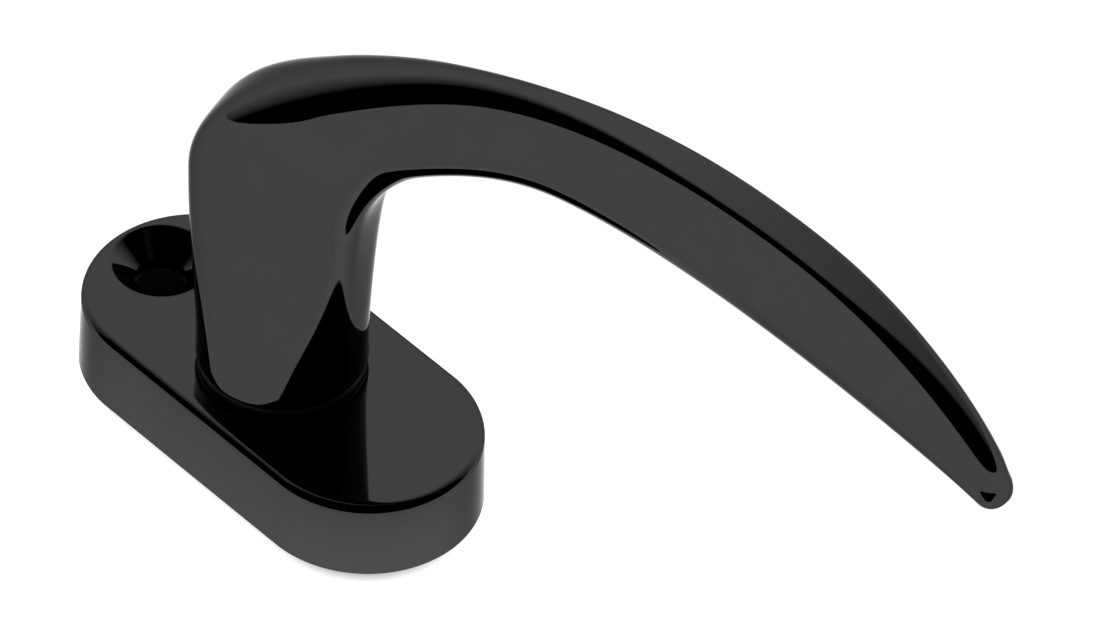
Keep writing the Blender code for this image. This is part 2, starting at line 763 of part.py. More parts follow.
def grip_section(half_width, half_depth, band, edge):
    """Half of the grip's section, as (side, rise), from the middle of its top to its bottom.

    A flat band on top rounds over by the radius edge into a straight side, which leans out to
    half_width and runs smoothly into an elliptical underside.
    """
    widest = -WIDEST_DROP * half_depth
    under = half_depth + widest
    edge = min(edge, half_depth)
    tilt = 0.2
    for _ in range(6):
        start = (band + edge * math.cos(tilt), half_depth - edge + edge * math.sin(tilt))
        meet = math.atan(under / half_width * math.tan(tilt))
        end = (half_width * math.cos(meet), widest + under * math.sin(meet))
        tilt = min(math.atan2(end[0] - start[0], start[1] - end[1]), 1.0)
    length = band + edge * (math.pi / 2 - tilt)
    points = []
    for i in range(TOP_POINTS + 1):
        distance = length * i / TOP_POINTS
        if distance < band:
            points.append((distance, half_depth))
            continue
        angle = math.pi / 2 - (distance - band) / edge
        points.append((band + edge * math.cos(angle), half_depth - edge + edge * math.sin(angle)))
    for i in range(1, SIDE_POINTS + 1):
        t = i / SIDE_POINTS
        points.append(tuple(start[k] + (end[k] - start[k]) * t for k in range(2)))
    under_points = HALF_POINTS - TOP_POINTS - SIDE_POINTS
    for i in range(1, under_points + 1):
        angle = -meet + (math.pi / 2 + meet) * i / under_points
        points.append((half_width * math.cos(angle), widest - under * math.sin(angle)))
    points[-1] = (0.0, -half_depth)
    return points


def lever_rings():
    """Sections of the lever, from the foot of the neck to the tip."""
    outer = side_points(OUTER)
    inner = side_points(INNER)
    rings = [round_ring(NECK_RADIUS - NECK_FILLET, NECK_BOTTOM)]
    for (ox, oz), (ix, iz) in zip(outer, inner):
        rings.append(ring_between(Vector((ox, 0.0, oz)), Vector((ix, 0.0, iz))))
    crest_end = Vector((outer[-1][0], 0.0, outer[-1][1]))
    under_end = Vector((inner[-1][0], 0.0, inner[-1][1]))
    return rings + tip_rings(crest_end, under_end)


def round_ring(radius, height):
    """A round section of the neck, which starts at its back."""
    ring = []
    for i in range(2 * HALF_POINTS):
        angle = math.pi * i / HALF_POINTS
        ring.append((-radius * math.cos(angle), -radius * math.sin(angle), height))
    return ring


def ring_between(top, bottom):
    """The lever's section between a point of its crest and a point of its underside."""
    middle = (top + bottom) / 2
    rise = (top - bottom) / 2
    half_depth = rise.length
    axis = rise.normalized()
    lean = smooth_step(*TURN_OVER, top.x)
    slim = smooth_step(*SLIMMING, middle.x)
    taper = smooth_step(*TAPERING, middle.x)
    flare = 1 - ramp(*NECK_WAISTING, top.z)
    neck = NECK_HALF_WIDTH + (NECK_RADIUS - NECK_HALF_WIDTH) * flare**2
    power = 2 / (2 + (SQUARENESS - 2) * smooth_step(*SQUARING, top.z))
    width = neck * (1 - slim) + (GRIP_HALF_WIDTH - GRIP_TAPER * taper) * slim
    band = BAND_HALF_WIDTH * smooth_step(*BAND_GROWTH, top.x)
    band *= 1 - smooth_step(*BAND_FADING, top.x)
    edge = EDGE_RADIUS + HEAD_ROUNDING * (1 - ramp(*EDGE_SHARPENING, top.x)) ** 1.5
    edge += TIP_ROUNDING * smooth_step(*TIP_GROWTH, top.x)
    section = grip_section(width, half_depth, band, edge)
    ring = []
    for i in range(2 * HALF_POINTS):
        k = i if i <= HALF_POINTS else 2 * HALF_POINTS - i
        sign = -1.0 if i <= HALF_POINTS else 1.0
        angle = math.pi * k / HALF_POINTS
        across = abs(math.sin(angle)) ** power
        up = math.copysign(abs(math.cos(angle)) ** power, math.cos(angle))
        side = width * across * (1 - lean) + section[k][0] * lean
        height = half_depth * up * (1 - lean) + section[k][1] * lean
        ring.append(tuple(middle + axis * height + Vector((0.0, sign * side, 0.0))))
    return ring


def tip_rings(top, bottom):
    """The last section drawn in to a rounded end."""
    last = ring_between(top, bottom)
    middle = (top + bottom) / 2
    rise = (top - bottom).normalized()
    forward = Vector((rise.z, 0.0, -rise.x))
    rings = []
    for i in range(1, TIP_STEPS + 1):
        angle = math.pi / 2 * i / (TIP_STEPS + 0.35)
        shrink = math.cos(angle)
        advance = forward * TIP_LENGTH * math.sin(angle)
        rings.append([tuple(middle + (Vector(point) - middle) * shrink + advance) for point in last])
    return rings


def build_lever(moving):
    """The cast lever: a neck that turns over into the slim curved grip, and a shank below."""
    lever = moving.part("lever_handle", loft(lever_rings()), "gloss_black")
    shank_bottom = CAM_BOTTOM + CAM_THICKNESS + 1.75
    shank = cylinder(SHANK_RADIUS, shank_bottom, NECK_BOTTOM + 2.0)
    combine(lever, moving.cutter("lever_shank", shank), "UNION")
    bore = extruded([flatted_circle(SLEEVE_RADIUS + GAP, SLEEVE_FLAT + GAP)], 0.0, SLEEVE_TOP + GAP)
    combine(lever, moving.cutter("sleeve_bore", bore))


def main():
    """Builds the handle."""
    clear_scene()
    parts = new_collection("tilt_turn_handle")
    cutters = new_collection("cutters")
    fixed = Builder(parts, cutters)
    build_rosette_cover(fixed)
    build_base_plate(fixed)
    build_back_plate(fixed)
    build_plate_screws(fixed)
    build_fixing_pips(fixed)
    build_cover_clips(fixed)
    build_click_sets(fixed)
    build_bush(fixed)
    build_thrust_washer(fixed)
    axis = bpy.data.objects.new("handle_turn_axis", None)
    axis.rotation_euler.z = math.radians(REST_ANGLE)
    parts.objects.link(axis)
    moving = Builder(parts, cutters, axis)
    build_lever(moving)
    build_drive_sleeve(moving)
    build_cam(moving)
    build_circlip(moving)
    build_wave_washer(moving)
    build_grip_spring(moving)


main()
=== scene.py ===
"""Looks of a tilt and turn window handle: gloss black rosette and sabre grip, and its click works.

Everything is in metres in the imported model's frame: +Z runs out of the sash along the spindle
axis and +X along the rosette. The finished pieces sit at the origin, with their place in their
mesh.
"""

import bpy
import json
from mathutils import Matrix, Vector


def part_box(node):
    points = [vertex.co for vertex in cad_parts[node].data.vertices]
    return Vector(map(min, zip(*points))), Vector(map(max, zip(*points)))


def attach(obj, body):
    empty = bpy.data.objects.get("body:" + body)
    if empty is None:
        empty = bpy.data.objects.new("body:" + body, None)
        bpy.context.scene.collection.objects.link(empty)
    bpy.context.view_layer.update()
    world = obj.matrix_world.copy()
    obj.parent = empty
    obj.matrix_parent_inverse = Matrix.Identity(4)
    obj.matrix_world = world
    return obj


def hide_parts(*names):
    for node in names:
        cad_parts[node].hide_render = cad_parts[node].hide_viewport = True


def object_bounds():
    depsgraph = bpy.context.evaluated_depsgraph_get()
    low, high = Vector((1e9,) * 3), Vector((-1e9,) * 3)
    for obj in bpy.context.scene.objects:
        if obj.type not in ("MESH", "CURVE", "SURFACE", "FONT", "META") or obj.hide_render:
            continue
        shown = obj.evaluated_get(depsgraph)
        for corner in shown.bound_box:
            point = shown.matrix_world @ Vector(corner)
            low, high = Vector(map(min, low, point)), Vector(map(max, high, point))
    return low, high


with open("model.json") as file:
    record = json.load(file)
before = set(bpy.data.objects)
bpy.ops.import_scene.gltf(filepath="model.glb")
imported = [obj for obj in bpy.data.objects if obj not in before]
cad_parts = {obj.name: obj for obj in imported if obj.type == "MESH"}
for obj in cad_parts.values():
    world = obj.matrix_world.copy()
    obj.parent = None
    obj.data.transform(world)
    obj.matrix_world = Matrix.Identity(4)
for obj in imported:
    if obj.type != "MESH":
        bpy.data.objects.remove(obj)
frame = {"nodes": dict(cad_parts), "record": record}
CAD_BOX = [list(corner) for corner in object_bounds()]

import json
import logging
import math
from dataclasses import dataclass
from enum import Enum
from typing import Any, Callable, Iterable

import bmesh
import bpy
from mathutils import Matrix, Vector

LOG = logging.getLogger("handle")
MM = 0.001
MERGE = 0.00001


class Body(Enum):
    """The two bodies of the handle."""

    ROSETTE = "rosette"
    HANDLE = "handle"


class Slot(Enum):
    """The record's material slots."""

    GLOSS_BLACK = "gloss_black_lacquer"
    NYLON = "black_nylon"
    ZINC = "cast_zinc"
    STEEL = "plated_steel"
    SPRING = "spring_steel"


# ---------------------------------------------------------------- bench work


def clear_selection() -> None:
    """Deselects every object, in object mode."""
    if bpy.context.mode != "OBJECT":
        bpy.ops.object.mode_set(mode="OBJECT")
    bpy.ops.object.select_all(action="DESELECT")


def take_up(obj: bpy.types.Object) -> None:
    """Makes one object the only selected and active one.

    Args:
        obj: The object to work on.
    """
    clear_selection()
    obj.select_set(True)
    bpy.context.view_layer.objects.active = obj


def name_new(name: str) -> bpy.types.Object:
    """Names the primitive that was just added, and its mesh.

    Args:
        name: The piece's name.

    Returns:
        The new object, which is the only one selected.
    """
    obj = bpy.context.object
    obj.name = name
    obj.data.name = name
    take_up(obj)
    return obj


def open_mesh(obj: bpy.types.Object) -> None:
    """Puts an object in edit mode with nothing selected.

    Args:
        obj: The object to edit.
    """
    take_up(obj)
    bpy.ops.object.mode_set(mode="EDIT")
    bpy.ops.mesh.select_mode(type="VERT")
    bpy.ops.mesh.select_all(action="DESELECT")


def close_mesh() -> None:
    """Leaves edit mode."""
    bpy.ops.object.mode_set(mode="OBJECT")


def pick(obj: bpy.types.Object, kind: str, wanted: Callable[[Any], bool]) -> None:
    """Selects only the elements of one kind that pass a test.

    Args:
        obj: The object in edit mode.
        kind: VERT, EDGE or FACE.
        wanted: Says of an element whether it is picked.
    """
    bpy.ops.mesh.select_mode(type=kind)
    bpy.ops.mesh.select_all(action="DESELECT")
    mesh = bmesh.from_edit_mesh(obj.data)
    for element in {"VERT": mesh.verts, "EDGE": mesh.edges, "FACE": mesh.faces}[kind]:
        element.select = wanted(element)
    mesh.select_flush_mode()
    bmesh.update_edit_mesh(obj.data)


def pick_vertices(obj: bpy.types.Object, wanted: Callable[[Vector], bool]) -> None:
    """Selects only the vertices whose place passes a test."""
    pick(obj, "VERT", lambda vertex: wanted(vertex.co))


def pick_faces(obj: bpy.types.Object, wanted: Callable[[bmesh.types.BMFace], bool]) -> None:
    """Selects only the faces that pass a test."""
    pick(obj, "FACE", wanted)


def pick_edges(obj: bpy.types.Object, wanted: Callable[[bmesh.types.BMEdge], bool]) -> None:
    """Selects only the edges that pass a test."""
    pick(obj, "EDGE", wanted)


def apply_modifier(obj: bpy.types.Object, kind: str, **settings: object) -> None:
    """Adds a modifier, sets it and applies it.

    Args:
        obj: The object to change.
        kind: The modifier's type.
        **settings: The modifier's values by name.
    """
    take_up(obj)
    bpy.ops.object.modifier_add(type=kind)
    modifier = obj.modifiers[-1]
    for key, value in settings.items():
        setattr(modifier, key, value)
    bpy.ops.object.modifier_apply(modifier=modifier.name)


def join_shape(obj: bpy.types.Object, tool: bpy.types.Object, operation: str) -> None:
    """Cuts or adds a tool shape, and removes the tool.

    Args:
        obj: The piece.
        tool: The closed shape to cut away or add.
        operation: DIFFERENCE or UNION.
    """
    apply_modifier(obj, "BOOLEAN", operation=operation, object=tool, solver="EXACT")
    bpy.data.objects.remove(tool, do_unlink=True)


def mend_normals(obj: bpy.types.Object) -> None:
    """Merges doubled points and turns every face outwards.

    Args:
        obj: A closed piece.
    """
    open_mesh(obj)
    bpy.ops.mesh.select_all(action="SELECT")
    bpy.ops.mesh.remove_doubles(threshold=MERGE)
    bpy.ops.mesh.normals_make_consistent(inside=False)
    close_mesh()


def smooth(obj: bpy.types.Object, angle: float, weighted: bool = False) -> None:
    """Shades a piece smooth up to an angle.

    Args:
        obj: The piece.
        angle: The angle in degrees over which an edge stays sharp.
        weighted: Whether large flat faces keep their own normals.
    """
    take_up(obj)
    bpy.ops.object.shade_smooth_by_angle(angle=math.radians(angle))
    if weighted:
        apply_modifier(obj, "WEIGHTED_NORMAL", keep_sharp=True, weight=100)


def settle(obj: bpy.types.Object) -> None:
    """Moves a piece's place into its mesh, so that the object sits at the origin.

    Args:
        obj: The piece.
    """
    take_up(obj)
    bpy.ops.object.transform_apply(location=True, rotation=True, scale=True)


def turn_profile(
    name: str,
    profile: Iterable[tuple[float, float]],
    centre: tuple[float, float] = (0.0, 0.0),
    sides: int = 96,
    ring: bool = False,
) -> bpy.types.Object:
    """Turns a profile by drawing a circle out from point to point.

    Args:
        name: The piece's name.
        profile: (radius, height) points in metres, from the lowest end up. A ring's profile
            runs up its outside and down its inside.
        centre: The axis in the frame's x and y.
        sides: Points round the circle.
        ring: Whether the profile closes on itself round a hole.

    Returns:
        The turned piece.
    """
    points = list(profile)
    if ring:
        points.append(points[0])
    radius, height = points[0]
    bpy.ops.mesh.primitive_circle_add(
        vertices=sides,
        radius=radius,
        fill_type="NOTHING" if ring else "NGON",
        location=(centre[0], centre[1], height),
    )
    obj = name_new(name)
    settle(obj)
    open_mesh(obj)
    bpy.ops.mesh.select_all(action="SELECT")
    for next_radius, next_height in points[1:]:
        if ring:
            bpy.ops.mesh.extrude_edges_move()
        else:
            bpy.ops.mesh.extrude_region_move()
        scale = next_radius / radius
        bpy.ops.transform.resize(
            value=(scale, scale, 1.0), center_override=(centre[0], centre[1], height)
        )
        bpy.ops.transform.translate(value=(0.0, 0.0, next_height - height))
        radius, height = next_radius, next_height
    close_mesh()
    mend_normals(obj)
    return obj


def arc_points(
    centre: tuple[float, float], radius: float, start: float, end: float, steps: int
) -> list[tuple[float, float]]:
    """Points of an arc in a profile's plane.

    Args:
        centre: The arc's centre.
        radius: Its radius.
        start: Its first angle, in degrees.
        end: Its last angle, in degrees.
        steps: Its number of steps.

    Returns:
        The points, with both ends.
    """
    points = []
    for i in range(steps + 1):
        angle = math.radians(start + (end - start) * i / steps)
        points.append((centre[0] + radius * math.cos(angle), centre[1] + radius * math.sin(angle)))
    return points


# ---------------------------------------------------------------- finishes


class NodeBoard:
    """A material's node tree, with short ways to add and join nodes."""

    def __init__(self, name: str) -> None:
        """Starts a material of the given name with a Principled shader."""
        self.material = bpy.data.materials.new(name)
        self.material.use_nodes = True
        self.tree = self.material.node_tree
        self.shader = self.tree.nodes["Principled BSDF"]

    def node(self, kind: str, **values: object) -> bpy.types.Node:
        """Adds a node.

        Args:
            kind: The node's type name, without ShaderNode.
            **values: Properties, or input values by name with spaces as underscores.

        Returns:
            The node.
        """
        made = self.tree.nodes.new("ShaderNode" + kind)
        for key, value in values.items():
            if key in made.bl_rna.properties:
                setattr(made, key, value)
            else:
                made.inputs[key.replace("_", " ")].default_value = value
        return made

    def join(self, output: bpy.types.NodeSocket, target: bpy.types.NodeSocket) -> None:
        """Links two sockets."""
        self.tree.links.new(output, target)

    def place(self, scale: tuple[float, float, float]) -> bpy.types.NodeSocket:
        """Object coordinates, stretched.

        Args:
            scale: Pattern units for each metre along x, y and z.

        Returns:
            The coordinates.
        """
        coordinates = self.node("TexCoord")
        mapping = self.node("Mapping", Scale=scale)
        self.join(coordinates.outputs["Object"], mapping.inputs["Vector"])
        return mapping.outputs["Vector"]

    def noise(
        self, grain_mm: tuple[float, float, float], detail: float = 3.0, rough: float = 0.55
    ) -> bpy.types.NodeSocket:
        """Noise with grains of the given size.

        Args:
            grain_mm: The grain's size along x, y and z, in millimetres.
            detail: The noise's detail.
            rough: The noise's roughness.

        Returns:
            The noise value, about 0.5 in the middle.
        """
        scale = tuple(1.0 / (size * MM) for size in grain_mm)
        noise = self.node("TexNoise", Scale=1.0, Detail=detail, Roughness=rough)
        self.join(self.place(scale), noise.inputs["Vector"])
        return noise.outputs["Fac"]

    def spread(
        self,
        value: bpy.types.NodeSocket,
        low: float,
        high: float,
        start: float = 0.3,
        end: float = 0.7,
    ) -> bpy.types.NodeSocket:
        """Maps a value to a range, and holds it at the range's ends.

        Args:
            value: The value, such as a noise.
            low: The result at start.
            high: The result at end.
            start: The value that gives low.
            end: The value that gives high.

        Returns:
            The mapped value.
        """
        mapped = self.node(
            "MapRange", From_Min=start, From_Max=end, To_Min=low, To_Max=high, clamp=True
        )
        self.join(value, mapped.inputs["Value"])
        return mapped.outputs["Result"]

    def tint(
        self,
        value: bpy.types.NodeSocket,
        low: tuple[float, float, float],
        high: tuple[float, float, float],
    ) -> None:
        """Colours the surface between two colours by a value from 0 to 1.

        Args:
            value: The value.
            low: The colour at 0.
            high: The colour at 1.
        """
        ramp = self.node("ValToRGB")
        ramp.color_ramp.elements[0].color = (*low, 1.0)
        ramp.color_ramp.elements[1].color = (*high, 1.0)
        self.join(value, ramp.inputs["Fac"])
        self.join(ramp.outputs["Color"], self.shader.inputs["Base Color"])

    def bump(self, heights: list[tuple[bpy.types.NodeSocket, float]]) -> None:
        """Stacks bumps.

        Args:
            heights: Each height value with its depth in millimetres.
        """
        below = None
        for value, depth_mm in heights:
            bump = self.node("Bump", Strength=1.0, Distance=depth_mm * MM)
            self.join(value, bump.inputs["Height"])
            if below is not None:
                self.join(below, bump.inputs["Normal"])
            below = bump.outputs["Normal"]
        self.join(below, self.shader.inputs["Normal"])


@dataclass(frozen=True)
class GlossBlack:
    """Black mirror plating: even dark reflections, a trace of orange peel and faint hairlines."""

    slot: Slot = Slot.GLOSS_BLACK
    reflectance: float = 0.052
    edge_tint: float = 0.48
    roughness: float = 0.035
    peel_mm: float = 2.6
    peel_depth_mm: float = 0.0006

    def material(self) -> bpy.types.Material:
        """Returns the finished material."""
        board = NodeBoard("gloss_black")
        shader = board.shader
        shader.inputs["Metallic"].default_value = 1.0
        shader.inputs["Specular Tint"].default_value = (*([self.edge_tint] * 3), 1.0)
        film = board.noise((9.0, 9.0, 9.0), 2.0)
        low = (self.reflectance * 0.97,) * 3
        high = tuple(self.reflectance * k for k in (1.02, 1.02, 1.04))
        board.tint(board.spread(film, 0.0, 1.0), low, high)
        wipe = board.noise((0.25, 5.0, 5.0), 4.0, 0.6)
        board.join(
            board.spread(wipe, self.roughness * 0.7, self.roughness * 1.5),
            shader.inputs["Roughness"],
        )
        peel = board.noise((self.peel_mm,) * 3, 1.0)
        hairline = board.noise((0.06, 3.5, 3.5), 2.0)
        board.bump([(peel, self.peel_depth_mm), (hairline, 0.00002)])
        return board.material


@dataclass(frozen=True)
class MouldedNylon:
    """Black moulded nylon, satin, with a fine eroded grain."""

    slot: Slot = Slot.NYLON
    roughness: float = 0.42
    grain_mm: float = 0.22

    def material(self) -> bpy.types.Material:
        """Returns the finished material."""
        board = NodeBoard("moulded_nylon")
        board.shader.inputs["Specular IOR Level"].default_value = 0.4
        cloud = board.noise((3.0, 3.0, 3.0), 3.0)
        board.tint(board.spread(cloud, 0.0, 1.0), (0.010, 0.010, 0.011), (0.018, 0.018, 0.019))
        board.join(
            board.spread(cloud, self.roughness - 0.06, self.roughness + 0.08),
            board.shader.inputs["Roughness"],
        )
        board.bump([(board.noise((self.grain_mm,) * 3, 4.0, 0.6), 0.012)])
        return board.material


@dataclass(frozen=True)
class CastZinc:
    """Tumbled zinc casting: dull grey, with flow clouds and a pitted skin."""

    slot: Slot = Slot.ZINC
    roughness: float = 0.44
    pit_mm: float = 0.5

    def material(self) -> bpy.types.Material:
        """Returns the finished material."""
        board = NodeBoard("cast_zinc")
        board.shader.inputs["Metallic"].default_value = 0.9
        flow = board.noise((6.0, 3.0, 6.0), 5.0, 0.6)
        board.tint(board.spread(flow, 0.0, 1.0), (0.30, 0.31, 0.33), (0.47, 0.475, 0.48))
        board.join(
            board.spread(flow, self.roughness + 0.12, self.roughness - 0.08),
            board.shader.inputs["Roughness"],
        )
        pits = board.node("TexVoronoi", Scale=1.0, feature="SMOOTH_F1")
        board.join(board.place((1.0 / (self.pit_mm * MM),) * 3), pits.inputs["Vector"])
        skin = board.noise((0.15, 0.15, 0.15), 4.0)
        board.bump([(pits.outputs["Distance"], 0.02), (skin, 0.008)])
        return board.material


@dataclass(frozen=True)
class PlatedSteel:
    """Bright zinc-plated steel: rolling lines, and a faint blue and straw bloom."""

    slot: Slot = Slot.STEEL
    roughness: float = 0.26

    def material(self) -> bpy.types.Material:
        """Returns the finished material."""
        board = NodeBoard("plated_steel")
        board.shader.inputs["Metallic"].default_value = 1.0
        bloom = board.noise((7.0, 5.0, 7.0), 3.0)
        board.tint(board.spread(bloom, 0.0, 1.0), (0.52, 0.55, 0.60), (0.66, 0.64, 0.57))
        lines = board.noise((5.0, 0.07, 0.07), 3.0)
        board.join(
            board.spread(lines, self.roughness - 0.06, self.roughness + 0.10),
            board.shader.inputs["Roughness"],
        )
        board.bump([(lines, 0.0015), (board.noise((0.3,) * 3, 3.0), 0.002)])
        return board.material


@dataclass(frozen=True)
class SpringSteel:
    """Oiled spring steel: dark, with drawing lines and straw-brown patches."""

    slot: Slot = Slot.SPRING
    roughness: float = 0.30

    def material(self) -> bpy.types.Material:
        """Returns the finished material."""
        board = NodeBoard("spring_steel")
        board.shader.inputs["Metallic"].default_value = 1.0
        patch = board.noise((1.6, 1.6, 1.6), 4.0, 0.6)
        board.tint(board.spread(patch, 0.0, 1.0), (0.20, 0.19, 0.18), (0.36, 0.35, 0.34))
        draw = board.noise((0.9, 0.05, 0.05), 3.0)
        board.join(
            board.spread(draw, self.roughness - 0.08, self.roughness + 0.10),
            board.shader.inputs["Roughness"],
        )
        board.bump([(draw, 0.001)])
        return board.material


Finish = GlossBlack | MouldedNylon | CastZinc | PlatedSteel | SpringSteel


class FinishShelf:
    """Makes each finish once and dresses pieces with it."""

    def __init__(self) -> None:
        """Starts with no finish made."""
        self.made: dict[Slot, bpy.types.Material] = {}

    def dress(self, obj: bpy.types.Object, finish: Finish) -> None:
        """Gives a piece its finish and nothing else.

        Args:
            obj: The piece or CAD node.
            finish: The finish it takes.
        """
        if finish.slot not in self.made:
            self.made[finish.slot] = finish.material()
        material = self.made[finish.slot]
        if not obj.material_slots:
            obj.data.materials.append(material)
        for slot in obj.material_slots:
            slot.link = "OBJECT"
            slot.material = material

    def hand_over(
        self, obj: bpy.types.Object, finish: Finish, body: Body, *nodes: str
    ) -> bpy.types.Object:
        """Dresses a new piece, and puts it on its body in place of CAD nodes.

        Args:
            obj: The finished piece.
            finish: Its finish.
            body: The body it rides on.
            *nodes: The CAD nodes that it stands for.

        Returns:
            The piece.
        """
        obj.data.materials.clear()
        obj.data.materials.append(None)
        self.dress(obj, finish)
        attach(obj, body.value)
        if nodes:
            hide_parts(*nodes)
        faces = len(obj.data.polygons)
        LOG.info("%s: %d faces on %s", obj.name, faces, body.value)
        return obj


# ---------------------------------------------------------------- rosette


@dataclass
class RosetteCover:
    """The obround cover: drafted wall, rounded rim, bore for the bush, and one dished hole."""

    draft: float = 0.25 * MM
    rim: float = 0.95 * MM
    slope: float = 0.6 * MM
    slope_drop: float = 0.2 * MM
    wall: float = 1.8 * MM
    top: float = 2.0 * MM
    bore: float = 8.7 * MM
    hole_x: float = -21.5 * MM
    hole: float = 3.1 * MM
    dish: float = 5.5 * MM
    lip: float = 0.9 * MM
    dish_depth: float = 2.7 * MM
    boss: float = 5.9 * MM
    boss_drop: float = 1.9 * MM
    lip_turn: float = 50.0
    lip_steps: int = 8
    overcut: float = 1.0 * MM
    sides: int = 146
    bore_sides: int = 128
    rim_segments: int = 10
    sharp_over: float = 28.0

    def build(self, shelf: FinishShelf) -> bpy.types.Object:
        """Models the cover.

        Args:
            shelf: The finishes.

        Returns:
            The cover.
        """
        half_length, half_width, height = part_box("rosette_cover")[1]
        bpy.ops.mesh.primitive_cylinder_add(
            vertices=self.sides, radius=half_width, depth=height, location=(0, 0, height / 2)
        )
        cover = name_new("rosette_shell")
        settle(cover)
        self.stretch(cover, half_length - half_width)
        self.shape_rim(cover, half_length, half_width, height)
        self.hollow(cover, height)
        self.pierce(cover, height)
        smooth(cover, self.sharp_over, weighted=True)
        return shelf.hand_over(cover, GlossBlack(), Body.ROSETTE, "rosette_cover")

    def stretch(self, cover: bpy.types.Object, straight: float) -> None:
        """Parts the round block's halves to make its straight sides.

        Args:
            cover: The block.
            straight: How far each half moves out.
        """
        open_mesh(cover)
        for side in (-1.0, 1.0):
            pick_vertices(cover, lambda place, side=side: place.x * side > 0.0)
            bpy.ops.transform.translate(value=(side * straight, 0.0, 0.0))
        close_mesh()

    def shape_rim(
        self, cover: bpy.types.Object, half_length: float, half_width: float, height: float
    ) -> None:
        """Draws the wall in by its draft and rounds the rim.

        Args:
            cover: The block.
            half_length: Half its length.
            half_width: Half its width.
            height: Its height.
        """
        open_mesh(cover)
        pick_vertices(cover, lambda place: place.z > height / 2)
        scale = (1 - self.draft / half_length, 1 - self.draft / half_width, 1.0)
        bpy.ops.transform.resize(value=scale, center_override=(0.0, 0.0, height))
        pick_faces(cover, lambda face: face.normal.z > 0.9)
        bpy.ops.mesh.inset(thickness=self.slope + self.rim)
        bpy.ops.transform.translate(value=(0.0, 0.0, self.slope_drop))
        pick_vertices(cover, lambda place: place.z > height / 2)
        bpy.ops.transform.translate(value=(0.0, 0.0, -self.slope_drop))
        edge_height = height - self.slope_drop
        pick_edges(
            cover, lambda edge: all(abs(v.co.z - edge_height) < MERGE for v in edge.verts)
        )
        bpy.ops.mesh.bevel(offset=self.rim, segments=self.rim_segments, profile=0.5, affect="EDGES")
        close_mesh()

    def hollow(self, cover: bpy.types.Object, height: float) -> None:
        """Hollows the block from below.

        Args:
            cover: The block.
            height: Its height.
        """
        open_mesh(cover)
        pick_faces(cover, lambda face: face.normal.z < -0.9)
        bpy.ops.mesh.inset(thickness=self.wall)
        bpy.ops.mesh.extrude_region_move(
            TRANSFORM_OT_translate={"value": (0.0, 0.0, height - self.top)}
        )
        close_mesh()

    def pierce(self, cover: bpy.types.Object, height: float) -> None:
        """Adds the boss under the dished hole, and cuts the hole and the bush's bore.

        Args:
            cover: The shell.
            height: Its height.
        """
        inside = height - self.top
        centre = (self.hole_x, 0.0)
        boss_low = inside - self.boss_drop
        boss = turn_profile(
            "boss_tool", [(self.boss, boss_low), (self.boss, inside + self.overcut)], centre
        )
        join_shape(cover, boss, "UNION")
        ends = [(self.bore, height / 2), (self.bore, height * 1.5)]
        bore = turn_profile("bore_tool", ends, sides=self.bore_sides)
        join_shape(cover, bore, "DIFFERENCE")
        outer = self.dish + self.lip
        profile = [(self.hole, boss_low - self.overcut), (self.hole, height - self.dish_depth)]
        profile += self.lip_profile(height)
        profile.append((outer, height + self.overcut))
        recess = turn_profile("recess_tool", profile, centre)
        join_shape(cover, recess, "DIFFERENCE")

    def lip_profile(self, height: float) -> list[tuple[float, float]]:
        """The rounded lip of the dished hole.

        Args:
            height: The height of the cover's top.

        Returns:
            (radius, height) points, from the dish up to the flat top.
        """
        outer = self.dish + self.lip
        points = []
        for i in range(self.lip_steps + 1):
            angle = math.radians(self.lip_turn * (1 - i / self.lip_steps))
            points.append(
                (outer - self.lip * math.sin(angle), height - self.lip * (1 - math.cos(angle)))
            )
        return points


@dataclass
class BearingBush:
    """The flanged bush that the shank turns in. Its flange shows as a dark ring under the neck."""

    edge: float = 0.2 * MM
    sleeve: float = 8.4 * MM
    bore: float = 7.6 * MM
    clearance: float = 0.3 * MM
    sides: int = 128
    edge_steps: int = 5
    sharp_over: float = 35.0

    def build(self, shelf: FinishShelf) -> bpy.types.Object:
        """Models the bush.

        Args:
            shelf: The finishes.

        Returns:
            The bush.
        """
        low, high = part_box("bearing_bush")
        flange = high[0]
        top = high[2]
        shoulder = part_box("rosette_cover")[1][2] + self.clearance
        corner = (flange - self.edge, top - self.edge)
        profile = [(self.bore, low[2]), (self.sleeve, low[2]), (self.sleeve, shoulder)]
        profile.append((flange, shoulder))
        profile += arc_points(corner, self.edge, 0.0, 90.0, self.edge_steps)
        profile.append((self.bore, top))
        bush = turn_profile("bush_flange", profile, sides=self.sides, ring=True)
        smooth(bush, self.sharp_over)
        return shelf.hand_over(bush, MouldedNylon(), Body.ROSETTE, "bearing_bush")


# ---------------------------------------------------------------- lever

Handles = tuple[tuple[float, float], tuple[float, float], tuple[float, float]]


